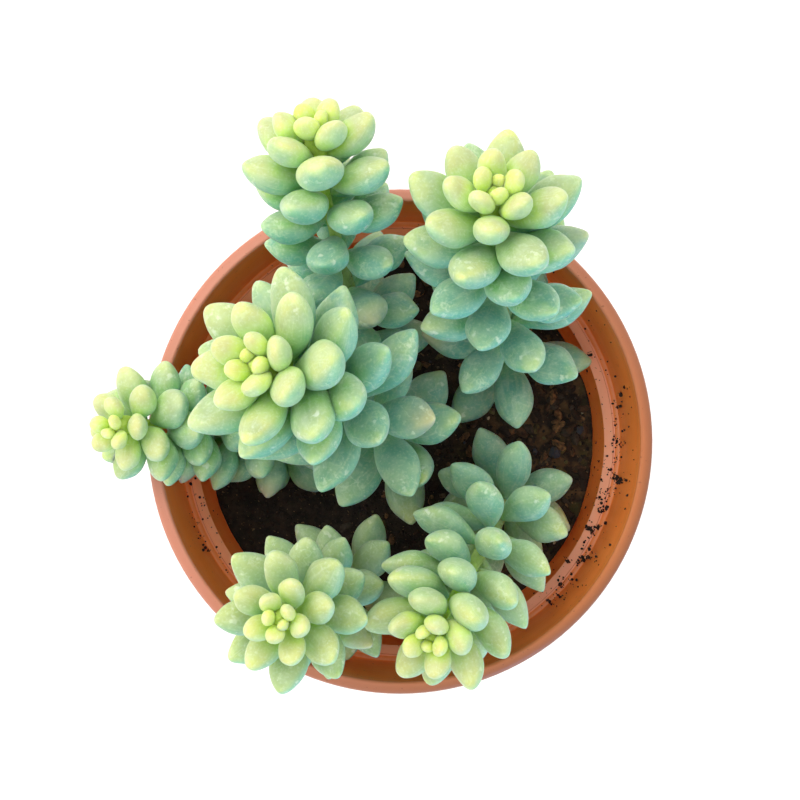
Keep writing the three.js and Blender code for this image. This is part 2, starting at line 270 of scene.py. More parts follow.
mottle = bpy.data.node_groups.new("mottle", "ShaderNodeTree")
mottle.interface.new_socket("Place", in_out="INPUT", socket_type="NodeSocketVector")
for socket_name in ("Per Metre", "Detail", "Low", "High"):
    mottle.interface.new_socket(socket_name, in_out="INPUT", socket_type="NodeSocketFloat")
mottle.interface.new_socket("Mask", in_out="OUTPUT", socket_type="NodeSocketFloat")
given = node(mottle, "NodeGroupInput").outputs
cloud = node(mottle, "ShaderNodeTexNoise", {
    "Vector": given["Place"], "Scale": given["Per Metre"], "Detail": given["Detail"],
})
node(mottle, "NodeGroupOutput", {"Mask": spread(mottle, cloud.outputs["Fac"], given["Low"], given["High"])})


def patches(tree, place, per_metre, low, high, detail=3):
    """A mask of soft-edged patches, at so many a metre, from the shared mottle group."""
    sizes = {"Place": place, "Per Metre": per_metre, "Detail": detail, "Low": low, "High": high}
    return node(tree, "ShaderNodeGroup", sizes, node_tree=mottle).outputs["Mask"]


# The way towards the lamps across the pot; the painted light and shade on the rim follow it.
LAMP_SIDE = (-0.83, 0.55, 0)
plastic, tree, shader = new_finish("clay_coloured_plastic", {
    "Roughness": 0.42, "IOR": 1.46, "Subsurface Weight": 0.35, "Subsurface Radius": (1, 0.9, 0.8),
    "Subsurface Scale": 4 * MM,
})
coordinates = node(tree, "ShaderNodeTexCoord").outputs
place = coordinates["Object"]
parts = node(tree, "ShaderNodeSeparateXYZ", {"Vector": place}).outputs
outwards = node(tree, "ShaderNodeCombineXYZ", {"X": parts["X"], "Y": parts["Y"]}).outputs[0]
radius = node(tree, "ShaderNodeVectorMath", {0: outwards}, operation="LENGTH").outputs["Value"]
turning = node(tree, "ShaderNodeCombineXYZ", {"X": radius, "Z": parts["Z"]}).outputs[0]
rings = patches(tree, turning, 700, 0.35, 0.65, detail=2)
upwards = node(tree, "ShaderNodeSeparateXYZ", {"Vector": coordinates["Normal"]}).outputs["Z"]
outside = spread(tree, towards(tree, outwards, coordinates["Normal"]), -5 * MM, 5 * MM)
broad = patches(tree, place, 28, 0.35, 0.7)
# One plastic as lit and shaded copies: the inside is painted bright orange as painted light, the outside
# darker brown as painted shade.
lit_inner_clay = painted(tree, broad, colour(252, 141, 60), colour(255, 149, 70))
shaded_outer_clay = painted(tree, broad, colour(186, 100, 56), colour(198, 113, 68))
clay = painted(tree, outside, lit_inner_clay, shaded_outer_clay)
clay = painted(tree, times(tree, rings, 0.2), clay, colour(228, 126, 64))
at_rim = spread(tree, parts["Z"], (POT_HEIGHT - 6) * MM, (POT_HEIGHT - 3) * MM)
# Painted reflection: a pinkish-white sheen on faces that look up, weaker towards the lamps where the
# collar's shade falls on the ledge.
painted_sky_sheen = times(tree, spread(tree, upwards, 0.5, 0.95), patches(tree, place, 60, 0, 0.5))
lampward = spread(tree, towards(tree, place, LAMP_SIDE), -RIM_RADIUS * MM, 0.4 * RIM_RADIUS * MM)
clay = painted(tree, times(tree, painted_sky_sheen, spread(tree, lampward, 0, 1, 0.95, 0.5)), clay, colour(248, 178, 146))
chalk_high = spread(tree, parts["Z"], 60 * MM, 4 * MM, 0.62, 0.5)
chalk = spread(tree, patches(tree, place, 55, 0, 1, detail=6), chalk_high, 0.78)
clay = painted(tree, times(tree, times(tree, chalk, outside), 0.5), clay, colour(214, 170, 142))
# Painted light and shade on the rim's top: pinker and lighter towards the lamps, darker orange away from
# them.
rim_light_and_shade = painted(tree, lampward, colour(184, 107, 54), colour(194, 126, 102))
clay = painted(tree, times(tree, spread(tree, upwards, 0, 0.4), at_rim), clay, rim_light_and_shade)
# Painted shade: the rim's outer edge darkened on the side away from the lamps.
outer_edge = spread(tree, radius, (RIM_RADIUS - 0.75 * RIM_WIDTH) * MM, RIM_RADIUS * MM)
rim_edge_shade = times(tree, outer_edge, spread(tree, lampward, 0.8, 0, 0, 0.7))
clay = painted(tree, times(tree, rim_edge_shade, at_rim), clay, colour(100, 52, 28))
specks = patches(tree, place, 900, 0.72, 0.76, detail=1)
clay = painted(tree, times(tree, specks, 0.5), clay, colour(120, 66, 40))
tree.links.new(clay, shader.inputs["Base Color"])
satin = spread(tree, patches(tree, place, 90, 0.2, 0.8), 0, 1, 0.34, 0.5)
tree.links.new(satin, shader.inputs["Roughness"])
roughen(tree, shader, rings, 0.04)
pot.data.materials.append(plastic)

# Potting mix
# A filling of dark peat with bark bits, grit and pale grains, pressed lightly into the pot up to a few
# millimetres below the ledge. It closes round the stems, and loose crumbs of it lie on the ledge.
SOIL_TOP = 85
SOIL_BUMP = 1.1
SOIL_RING_STEP = 1.4
SOIL_SIDES = 144
CLUMP_HEIGHT = 1.3
CLUMP_SPAN = 5
SEAT_GAP = 0.3
LUMP_REST = 0.3
draw = np.random.default_rng(5)


def body_radius(height):
    """Inner radius of the pot's body at a height below the ledge."""
    part = (height - FLOOR_HIGH) / (LEDGE_LOW - FLOOR_HIGH)
    return FLOOR_RADIUS + part * (LEDGE_INNER_RADIUS - FLOOR_RADIUS)


def mix_height(x, y):
    """Height of the mix's top: a slow swell with clumps on it."""
    swell = 0.6 * math.sin(x / 7 + 1) * math.cos(y / 9 + 2) + 0.4 * math.sin(x / 3.7 - y / 4.9)
    clumps = noise.fractal(Vector((x / CLUMP_SPAN, y / CLUMP_SPAN, 0)), 0.8, 2.1, 4)
    return SOIL_TOP + SOIL_BUMP * swell + CLUMP_HEIGHT * clumps


soil_low = FLOOR_HIGH + SEAT_GAP
soil_radius = body_radius(SOIL_TOP) - 0.05
ring_count = int(soil_radius / SOIL_RING_STEP)
soil = turned("peat_filling", [
    (1, soil_low), (body_radius(soil_low) - SEAT_GAP, soil_low),
    *[(soil_radius * (ring_count - ring) / ring_count, SOIL_TOP) for ring in range(ring_count)],
], SOIL_SIDES)
for vertex in soil.data.vertices:
    if vertex.co.z > (SOIL_TOP - 1) * MM:
        vertex.co.z = mix_height(vertex.co.x / MM, vertex.co.y / MM) * MM
soil.data.shade_smooth()
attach(soil, "root")
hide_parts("soil")

peat, tree, shader = new_finish("peat", {"Roughness": 0.95})
place = node(tree, "ShaderNodeTexCoord").outputs["Object"]
earth = painted(tree, patches(tree, place, 350, 0.35, 0.65), colour(24, 19, 16), colour(50, 39, 30))
# Brown fibres and moss only on the right: partly a coarser mix there, partly painted light, with the left
# kept dark as painted shade.
to_right = node(tree, "ShaderNodeSeparateXYZ", {"Vector": place}).outputs["X"]
coarse_lit_side = spread(tree, to_right, 0.008, 0.035)
fibrous = times(tree, patches(tree, place, 210, 0.46, 0.6, detail=5), coarse_lit_side)
earth = painted(tree, fibrous, earth, colour(92, 70, 44))
mossy = times(tree, patches(tree, place, 160, 0.56, 0.68), coarse_lit_side)
earth = painted(tree, times(tree, mossy, 0.7), earth, colour(66, 64, 28))
earth = painted(tree, patches(tree, place, 120, 0.55, 0.75), earth, colour(16, 14, 13))
earth = painted(tree, patches(tree, place, 1100, 0.7, 0.74, detail=1), earth, colour(110, 90, 64))
tree.links.new(earth, shader.inputs["Base Color"])
roughen(tree, shader, patches(tree, place, 900, 0.2, 0.8, detail=5), 0.5)
soil.data.materials.append(peat)


def lump_pattern(name, stretch, jitter):
    """An angular lump to copy: a ball of twenty faces, drawn out and pushed about."""
    bpy.ops.object.select_all(action="DESELECT")
    bpy.ops.mesh.primitive_ico_sphere_add(subdivisions=1, radius=0.5)
    bpy.ops.object.mode_set(mode="EDIT")
    bpy.ops.transform.resize(value=stretch)
    bpy.ops.object.mode_set(mode="OBJECT")
    for vertex in bpy.context.object.data.vertices:
        vertex.co += Vector(draw.uniform(-jitter, jitter, 3))
    return settle(name)


def hold(piece, name, values):
    """Keeps a number for every point of a piece's mesh, for its material to read."""
    held = piece.data.attributes.new(name, "FLOAT", "POINT")
    held.data.foreach_set("value", np.broadcast_to(values, len(piece.data.vertices)).astype(np.float32))


def scatter(pattern, places, sizes, sink, tilt, shade=None):
    """Copies of a lump, each turned at random and sunk by a share of its size where it lies."""
    copies = []
    for (x, y, z), size in zip(places, sizes):
        lump = copy_of(pattern)
        turn = Matrix.Rotation(draw.uniform(0, 2 * math.pi), 4, "Z")
        lean = Matrix.Rotation(draw.uniform(-tilt, tilt), 4, Vector(draw.normal(size=3)).normalized())
        lift = z + size * (LUMP_REST - sink)
        to_place = Matrix.Translation(Vector((x, y, lift)) * MM) @ turn @ lean @ Matrix.Scale(size * MM, 4)
        lump.data.transform(to_place)
        hold(lump, "lump_shade", draw.random() if shade is None else shade)
        copies.append(lump)
    return copies


def on_mix(count, widest, coarse_from=-200):
    """Places scattered over the mix's top, evenly or fewer and fewer to the left of coarse_from."""
    places = []
    while len(places) < count:
        radius, bearing = widest * math.sqrt(draw.random()), draw.uniform(0, 2 * math.pi)
        x, y = radius * math.cos(bearing), radius * math.sin(bearing)
        if x > draw.uniform(coarse_from - 70, coarse_from):
            places.append((x, y, mix_height(x, y)))
    return places


CRUMB_COUNT = 1700
BARK_COUNT = 420
GRIT_COUNT = 150
MIX_REACH = 61
BARK_REACH = 60.5
BLUE_STONE = (50, -4, SOIL_TOP + 0.6)
BLUE_SHADE = 0.69
crumb = lump_pattern("crumb_pattern", (1, 0.8, 0.7), 0.12)
bark = lump_pattern("bark_pattern", (1.3, 0.75, 0.42), 0.1)
grit = lump_pattern("grit_pattern", (1, 0.85, 0.7), 0.06)
fibre = lump_pattern("fibre_pattern", (1.6, 0.14, 0.14), 0.04)
crumbs = joined(scatter(
    crumb, on_mix(CRUMB_COUNT, MIX_REACH), draw.uniform(0.6, 1.9, CRUMB_COUNT), 0.3, 3), "peat_crumbs")
# Bark and grit grow fewer to the left: partly a coarser mix on the right, partly leaving the left dark as
# painted shade.
chips = joined(scatter(
    bark, on_mix(BARK_COUNT, BARK_REACH, 30), draw.uniform(1.8, 4.6, BARK_COUNT), 0.25, 0.5), "bark_bits")
stones = scatter(grit, on_mix(GRIT_COUNT, MIX_REACH, 20), draw.gamma(3, 0.45, GRIT_COUNT) + 0.5, 0.2, 3)
stones += scatter(grit, [BLUE_STONE], [5], 0.2, 0.3, BLUE_SHADE)
grains = joined(stones, "grit")

crumb_peat, tree, shader = new_finish("crumb_peat", {"Roughness": 0.95})
place = node(tree, "ShaderNodeTexCoord").outputs["Object"]
shade = attribute(tree, "lump_shade")
earth = painted(tree, shade, colour(20, 16, 14), colour(56, 43, 33))
earth = painted(tree, patches(tree, place, 900, 0.4, 0.7), earth, colour(30, 24, 20))
tree.links.new(earth, shader.inputs["Base Color"])
roughen(tree, shader, patches(tree, place, 2500, 0.2, 0.8), 0.15)
crumbs.data.materials.append(crumb_peat)


def banded(tree, value, colours):
    """Picks one of several colours by a value from 0 to 1, in equal bands."""
    ramp = node(tree, "ShaderNodeValToRGB", {"Fac": value})
    ramp.color_ramp.interpolation = "CONSTANT"
    bands = ramp.color_ramp.elements
    while len(bands) < len(colours):
        bands.new(1)
    for step, shown in enumerate(colours):
        bands[step].position = step / len(colours)
        bands[step].color = shown
    return ramp.outputs["Color"]


bark_finish, tree, shader = new_finish("bark", {"Roughness": 0.85})
place = node(tree, "ShaderNodeTexCoord").outputs["Object"]
wood = banded(tree, attribute(tree, "lump_shade"), [
    colour(52, 38, 27), colour(80, 58, 38), colour(112, 82, 52), colour(42, 33, 26), colour(138, 104, 66),
    colour(60, 46, 32), colour(88, 80, 42), colour(66, 58, 48),
])
wood = painted(tree, patches(tree, place, 700, 0.4, 0.7, detail=5), wood, colour(40, 30, 22))
tree.links.new(wood, shader.inputs["Base Color"])
roughen(tree, shader, patches(tree, place, 1500, 0.2, 0.8, detail=5), 0.3)
chips.data.materials.append(bark_finish)

stone_finish, tree, shader = new_finish("grit_stone", {"Roughness": 0.7})
place = node(tree, "ShaderNodeTexCoord").outputs["Object"]
stone = banded(tree, attribute(tree, "lump_shade"), [
    colour(104, 88, 66), colour(150, 130, 100), colour(60, 56, 50), colour(92, 88, 48),
    colour(186, 172, 146), colour(44, 52, 66), colour(126, 98, 60), colour(78, 66, 52),
])
stone = painted(tree, patches(tree, place, 1200, 0.45, 0.7), stone, colour(70, 60, 46))
tree.links.new(stone, shader.inputs["Base Color"])
roughen(tree, shader, patches(tree, place, 2500, 0.2, 0.8), 0.1)
grains.data.materials.append(stone_finish)

# Loose crumbs on the pot
# Specks and clusters of dry peat, fallen on the ledge and the inner wall of the collar when the pot was
# filled, most of them on the right. Bearings are degrees from +X, and the places are read one by one.
CRUMB_CLUSTERS = [
    {"bearing": -10, "radius": 68.5, "grains": 64, "loose": 0.3},
    {"bearing": -8, "radius": 66.5, "grains": 14, "loose": 0.25},
    {"bearing": -14, "radius": 67.5, "grains": 20, "loose": 0.9},
    {"bearing": -19, "radius": 67.5, "grains": 34, "loose": 0.3},
    {"bearing": -25, "radius": 66.5, "grains": 46, "loose": 0.35},
    {"bearing": -24, "radius": 68, "grains": 34, "loose": 0.3},
    {"bearing": -30, "radius": 68.5, "grains": 14, "loose": 0.3},
    {"bearing": -33, "radius": 68, "grains": 56, "loose": 0.3},
    {"bearing": -34, "radius": 68, "grains": 12, "loose": 0.4},
    {"bearing": -39, "radius": 69, "grains": 12, "loose": 0.7},
    {"bearing": -42, "radius": 68, "grains": 14, "loose": 0.35},
    {"bearing": -44, "radius": 69, "grains": 12, "loose": 0.3},
    {"bearing": -47, "radius": 69, "grains": 20, "loose": 0.3},
    {"bearing": -36, "radius": 65, "grains": 14, "loose": 0.5},
    {"bearing": -5, "radius": 68.5, "grains": 8, "loose": 0.3},
    {"bearing": 0, "radius": 68, "grains": 18, "loose": 0.5},
    {"bearing": 4, "radius": 68, "grains": 9, "loose": 0.25},
    {"bearing": 9, "radius": 69, "grains": 12, "loose": 0.3},
    {"bearing": 24, "radius": 66, "grains": 16, "loose": 0.25},
]
LONE_CRUMBS = 200
LONE_BEARINGS = (-8, 26)
LONE_RADII = (62.9, 70.6)
LEFT_ROW = (199, 210.5)
LEFT_ROW_CRUMBS = 26
LEFT_CRUMBS = 60


def inner_surface(radius):
    """Height of the body's inner wall, the ledge or the collar's inner wall at a radius."""
    if radius < LEDGE_INNER_RADIUS:
        climb = (radius - FLOOR_RADIUS) / (LEDGE_INNER_RADIUS - FLOOR_RADIUS)
        return FLOOR_HIGH + climb * (LEDGE_LOW - FLOOR_HIGH)
    if radius < LEDGE_OUTER_RADIUS - 0.4:
        return ledge_height(radius)
    climb = (radius - LEDGE_OUTER_RADIUS + 0.4) / (RIM_RADIUS - RIM_WIDTH - LEDGE_OUTER_RADIUS + 0.4)
    return LEDGE_HIGH + 0.2 + climb * (POT_HEIGHT - LEDGE_HIGH - 2)


def on_ledge(bearing, radius):
    radius = min(max(radius, body_radius(SOIL_TOP + 2)), RIM_RADIUS - RIM_WIDTH - 0.2)
    angle = math.radians(bearing)
    return radius * math.cos(angle), radius * math.sin(angle), inner_surface(radius)


fallen = []
for cluster in CRUMB_CLUSTERS:
    grown_to = [(0, 0)]
    for _ in range(cluster["grains"]):
        beside = grown_to[draw.integers(len(grown_to))]
        across, inwards = np.array(beside) + draw.normal(0, cluster["loose"], 2)
        grown_to.append((across, inwards))
        swing = math.degrees(across / cluster["radius"])
        fallen.append(on_ledge(cluster["bearing"] + swing, cluster["radius"] + inwards))
for bearings, radii in (
    (draw.normal(*LONE_BEARINGS, LONE_CRUMBS), draw.uniform(*LONE_RADII, LONE_CRUMBS)),
    (draw.uniform(*LEFT_ROW, LEFT_ROW_CRUMBS), draw.normal(69, 0.15, LEFT_ROW_CRUMBS)),
    (draw.uniform(190, 235, LEFT_CRUMBS), draw.uniform(63, 69.2, LEFT_CRUMBS)),
):
    fallen += [on_ledge(bearing, radius) for bearing, radius in zip(bearings, radii)]
threads = [on_ledge(cluster["bearing"] + 1, cluster["radius"]) for cluster in CRUMB_CLUSTERS[::2]]
specks = joined(
    scatter(crumb, fallen, draw.gamma(2, 0.17, len(fallen)) + 0.2, 0, 3)
    + scatter(fibre, threads, draw.uniform(0.7, 1.3, len(threads)), 0, 0.5), "fallen_crumbs")
specks.data.materials.append(crumb_peat)
for piece in (crumbs, chips, grains, specks):
    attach(piece, "root")
for pattern in (crumb, bark, grit, fibre):
    bpy.data.objects.remove(pattern)

# Leafy stems
# Six living stems, each a fleshy core with plump, water-filled leaves set on it in a spiral, packed
# tight at the growing tip and wider apart lower down. Every leaf grows out of its stem.
STEM_RADIUS = 2.2
STEM_SUNK = 18
STEM_BARE = 4
TIP_COVER = 0.5
CURVE_STEPS = 160
GOLDEN_ANGLE = 137.508
LEAF_CURL = 25
LEAF_ROOT_DEPTH = 1.2
YOUNGEST_SIZE = 0.25
SLIMMING = 0.8
STRETCH_FROM = 20
SIDED_GIRTH = 1.06
LEAF_GAP = 0.6
BEARING_WANDER = 12
ANGLE_WANDER = 10
LENGTH_WANDER = 0.12
UNEVEN_FROM = 24
CORE_STEP = 4
# Where each stem stands and how its leaves grow, in millimetres and degrees. Apart from the names and
# seeds, separate fitting programs found these values, from leaf tips and widths read in the photograph
# and from where it shows leaves. They were then rounded, and some were changed. The part's source holds
# the same list. A script should hold no such list: report.md tells why these two do.
STEMS = [
    {"name": "leafy_stem_back_left", "root": [-9.9, 28.8], "shoulder": 121.4,
     "neck": [-17.7, 50, 145.2], "tip": [-22.8, 81.1, 170.2], "turn": 1, "start": 208.7,
     "spacing": 1.75, "crowded": 8.6, "young": 7.3, "open": 79, "opening": 8.2, "stretch": 0.05,
     "leaf_length": 20.2, "leaf_width": 12.9, "full_grown": 11.2, "seed": 11},
    {"name": "leafy_stem_back_right", "root": [34.8, 25.5], "shoulder": 119,
     "neck": [25.6, 42.9, 139.3], "tip": [24.5, 62, 180.5], "turn": -1, "start": 62.2,
     "spacing": 1.6, "crowded": 8.5, "young": 8.3, "open": 73.8, "opening": 9.7, "stretch": 0.05,
     "leaf_length": 25.6, "leaf_width": 13.2, "full_grown": 14.5, "seed": 23},
    {"name": "leafy_stem_centre", "root": [-1.6, 0.1], "shoulder": 128.5,
     "neck": [-18.5, 17.3, 149], "tip": [-35.2, 19, 179.2], "turn": -1, "start": 119,
     "spacing": 1.3, "crowded": 7, "young": 9, "open": 69.7, "opening": 9.1, "stretch": 0.065,
     "leaf_length": 28, "leaf_width": 13.9, "full_grown": 14.3, "seed": 37},
    {"name": "leafy_stem_over_rim", "root": [-35.2, -2.3], "shoulder": 114.9,
     "neck": [-62.9, 7.9, 113.9], "tip": [-80.1, 3.7, 145.5], "turn": 1, "start": 255.8,
     "spacing": 1.21, "crowded": 4.3, "young": 6.2, "open": 85, "opening": 4.5, "stretch": 0.03,
     "leaf_length": 17.4, "leaf_width": 11.2, "full_grown": 14.1, "seed": 41},
    {"name": "leafy_stem_front_left", "root": [-13.1, -43.2], "shoulder": 112.6,
     "neck": [-26.6, -49.1, 123], "tip": [-31.1, -46.8, 169.2], "turn": -1, "start": 310.1,
     "spacing": 1.49, "crowded": 3.5, "young": 5, "open": 75, "opening": 9.9, "stretch": 0.04,
     "leaf_length": 22.5, "leaf_width": 11, "full_grown": 14.9, "seed": 53},
    {"name": "leafy_stem_front_right", "root": [33.4, -16.9], "shoulder": 137.1,
     "neck": [14.4, -47, 135.4], "tip": [8.7, -52.7, 158], "turn": -1, "start": 258,
     "spacing": 1.7, "crowded": 6.3, "young": 6.3, "open": 74.5, "opening": 9.4, "stretch": 0.025,
     "leaf_length": 22.4, "leaf_width": 11.8, "full_grown": 11.6, "seed": 67},
]
SHRINKS = (1, 0.92, 0.84, 0.76, 0.68)
LIFTS = (0, -7, 7, -14, 14, -22, -30)
SWINGS = (0, 7, -7, 14, -14, 22, -22)
SPOTS = (0.2, 0.4, 0.6, 0.8, 0.94)
WALL_HALF = 2
WALL = ((73.1, 123), (70.9, 97), (65.6, 95.5), (50, 4))
PLUMP_SKEW = 1.35
PLUMP_POWER = 0.62


def stem_controls(stem):
    x, y = stem["root"]
    return np.array([(x, y, SOIL_TOP), (x, y, stem["shoulder"]), stem["neck"], stem["tip"]], float)


def walk(stem):
    """The stem's curve as evenly numbered stations: places, directions and lengths from the soil."""
    a, b, c, d = stem_controls(stem)
    t = (np.arange(CURVE_STEPS) / (CURVE_STEPS - 1))[:, None]
    s = 1 - t
    places = s**3 * a + 3 * s * s * t * b + 3 * s * t * t * c + t**3 * d
    slopes = 3 * s * s * (b - a) + 6 * s * t * (c - b) + 3 * t * t * (d - c)
    slopes /= np.linalg.norm(slopes, axis=1)[:, None]
    steps = np.linalg.norm(np.diff(places, axis=0), axis=1)
    return places, slopes, np.concatenate([[0], np.cumsum(steps)])


def station_at(stations, length):
    places, slopes, lengths = stations
    i = 1
    while i < len(lengths) - 1 and lengths[i] < length:
        i += 1
    part = (length - lengths[i - 1]) / (lengths[i] - lengths[i - 1])
    along = slopes[i - 1] + (slopes[i] - slopes[i - 1]) * part
    return places[i - 1] + (places[i] - places[i - 1]) * part, along / np.linalg.norm(along)


def drawer(state):
    """Repeatable random numbers from 0 to 1."""
    while True:
        state = (state * 1664525 + 1013904223) & 0xFFFFFFFF
        yield state / 4294967296


def leaves_of(stem):
    """Every leaf of a stem from the youngest down, by the spiral rule, before any bends clear."""
    stations = walk(stem)
    stem_length = stations[2][-1]
    draws = drawer(stem["seed"])
    leaves = []
    i = 0
    while True:
        crowding = max(TIP_COVER, stem["spacing"] * i * i / (i + stem["crowded"]))
        from_tip = crowding + stem["stretch"] * max(0, i - STRETCH_FROM) ** 2
        if from_tip > stem_length - STEM_BARE:
            return leaves
        place, along = station_at(stations, stem_length - from_tip)
        unevenness = min(1, i / UNEVEN_FROM)
        size = min(1, YOUNGEST_SIZE + (1 - YOUNGEST_SIZE) * i / stem["full_grown"])
        openness = 1 - math.exp(-i / stem["opening"])
        leaves.append({
            "number": i, "place": place, "along": along,
            "bearing": stem["start"] + stem["turn"] * GOLDEN_ANGLE * i
            + BEARING_WANDER * (next(draws) - 0.5) * unevenness,
            "angle": stem["young"] + (stem["open"] - stem["young"]) * openness
            + ANGLE_WANDER * (next(draws) - 0.5) * unevenness,
            "length": stem["leaf_length"] * size * (1 + LENGTH_WANDER * (next(draws) - 0.5) * unevenness),
            "half_width": stem["leaf_width"] / 2 * size**SLIMMING,
        })
        i += 1


def plumpness(u):
    """A narrow root, the fullest part past the middle, a blunt point."""
    return np.sin(math.pi * np.minimum(u, 1) ** PLUMP_SKEW).clip(0) ** PLUMP_POWER


def leaf_pose(leaf, u):
    """Places on the leaf's bent midline, its across direction and its upper directions there."""
    along = leaf["along"]
    side = np.array((1.0, 0, 0)) - along[0] * along
    side /= np.linalg.norm(side)
    bearing = math.radians(leaf["bearing"])
    out = side * math.cos(bearing) + np.cross(along, side) * math.sin(bearing)
    curl = math.radians(LEAF_CURL)
    root_angle = math.radians(leaf["angle"]) + curl / 2
    angle = root_angle - curl * u
    forward = leaf["length"] * (math.sin(root_angle) - np.sin(angle)) / curl
    outward = LEAF_ROOT_DEPTH + leaf["length"] * (np.cos(angle) - math.cos(root_angle)) / curl
    places = leaf["place"] + np.outer(forward, along) + np.outer(outward, out)
    across = np.cross(along, out)
    ahead = np.outer(np.cos(angle), along) + np.outer(np.sin(angle), out)
    return places, across, np.cross(ahead, across)


def leaf_spots(leaf):
    spots = np.array(SPOTS)
    return leaf_pose(leaf, spots)[0], leaf["half_width"] * plumpness(spots) * SIDED_GIRTH


def wall_gap(places):
    radius = np.hypot(places[:, 0], places[:, 1])
    height = places[:, 2]
    nearest = np.full(len(places), np.inf)
    for (r0, z0), (r1, z1) in zip(WALL[:-1], WALL[1:]):
        part = ((radius - r0) * (r1 - r0) + (height - z0) * (z1 - z0)) / ((r1 - r0) ** 2 + (z1 - z0) ** 2)
        part = part.clip(0, 1)
        away = np.hypot(radius - r0 - part * (r1 - r0), height - z0 - part * (z1 - z0))
        nearest = np.minimum(nearest, away)
    return nearest - WALL_HALF


def is_clear(places, radii, taken_places, taken_radii):
    if (places[:, 2] - radii < SOIL_TOP + SOIL_BUMP + LEAF_GAP).any():
        return False
    if (wall_gap(places) < radii + LEAF_GAP).any():
        return False
    apart = np.linalg.norm(places[:, None] - taken_places[None], axis=2)
    return not (apart < radii[:, None] + taken_radii[None] + LEAF_GAP).any()


def bend_clear(leaf, taken_places, taken_radii):
    for shrink in SHRINKS:
        for lift in LIFTS:
            for swing in SWINGS:
                bent = {
                    **leaf, "bearing": leaf["bearing"] + swing, "angle": leaf["angle"] + lift,
                    "length": leaf["length"] * shrink, "half_width": leaf["half_width"] * shrink,
                }
                if is_clear(*leaf_spots(bent), taken_places, taken_radii):
                    return bent
    return None


def grow_leaves():
    """All six stems' leaves, youngest first on every stem, each bent clear of the other stems."""
    cores = [walk(stem)[0][::CORE_STEP] for stem in STEMS]
    taken_places = np.concatenate(cores)
    taken_radii = np.full(len(taken_places), STEM_RADIUS, float)
    owners = np.repeat(np.arange(len(STEMS)), [len(core) for core in cores])
    waiting = [leaves_of(stem) for stem in STEMS]
    grown = [[] for _ in STEMS]
    for i in range(max(len(leaves) for leaves in waiting)):
        for stem_index, leaves in enumerate(waiting):
            if i >= len(leaves):
                continue
            others = owners != stem_index
            leaf = bend_clear(leaves[i], taken_places[others], taken_radii[others])
            if leaf is None:
                continue
            grown[stem_index].append(leaf)
            places, radii = leaf_spots(leaf)
            taken_places = np.concatenate([taken_places, places])
            taken_radii = np.concatenate([taken_radii, radii])
            owners = np.concatenate([owners, np.full(len(places), stem_index)])
    return grown


LEAF_CAGE_SIDES = 8
RING_PLACES = (0.06, 0.22, 0.42, 0.62, 0.8, 0.94)
CAGE_GIRTH = 1.1
bpy.ops.object.select_all(action="DESELECT")
bpy.ops.mesh.primitive_uv_sphere_add(segments=LEAF_CAGE_SIDES, ring_count=len(RING_PLACES) + 1, radius=1)
bpy.ops.object.mode_set(mode="EDIT")
bpy.ops.transform.translate(value=(0, 0, 1))
bpy.ops.transform.resize(value=(1, 1, 0.5), center_override=(0, 0, 0))
bpy.ops.mesh.select_all(action="DESELECT")
bpy.ops.object.mode_set(mode="OBJECT")
pattern = bpy.context.object
heights = sorted({round(v.co.z, 4) for v in pattern.data.vertices})[1:-1]
ball_rings = [[v.index for v in pattern.data.vertices if abs(v.co.z - height) < 1e-3] for height in heights]
for height, ring, ring_place in zip(heights, ball_rings, RING_PLACES):
    for index in ring:
        pattern.data.vertices[index].select = True
    wide = pattern.data.vertices[ring[0]].co.xy.length
    bpy.ops.object.mode_set(mode="EDIT")
    girth = float(plumpness(ring_place)) * CAGE_GIRTH / wide
    bpy.ops.transform.resize(value=(girth, girth, 1), center_override=(0, 0, 0))
    bpy.ops.transform.translate(value=(0, 0, ring_place - height))
    bpy.ops.mesh.select_all(action="DESELECT")
    bpy.ops.object.mode_set(mode="OBJECT")
leaf_pattern = settle("leaf_pattern")
cage = np.array([v.co for v in leaf_pattern.data.vertices], float)

UPPER_FLATNESS = 0.68
LOWER_FLATNESS = 0.8
FACET = 0.075
OLD_LEAF = 26
POINTED_FROM = 0.55
POINTEDNESS = 0.4
BLUNTNESS = 0.28
YOUNG_GIRTH = 0.08
YOUNG_LENGTH = 0.08
PRESS_REACH = 2.6
TIP_POINT = 0.035


def pressed(places, beside):
    """How close each place is to the other leaves of the stem, from 0 to 1 where they press on it."""
    spots = np.concatenate([leaf_spots(other)[0] for other in beside])
    radii = np.concatenate([leaf_spots(other)[1] for other in beside])
    clear = (np.linalg.norm(places[:, None] - spots[None], axis=2) - radii).min(axis=1)
    return (1 - clear / PRESS_REACH).clip(0, 1)


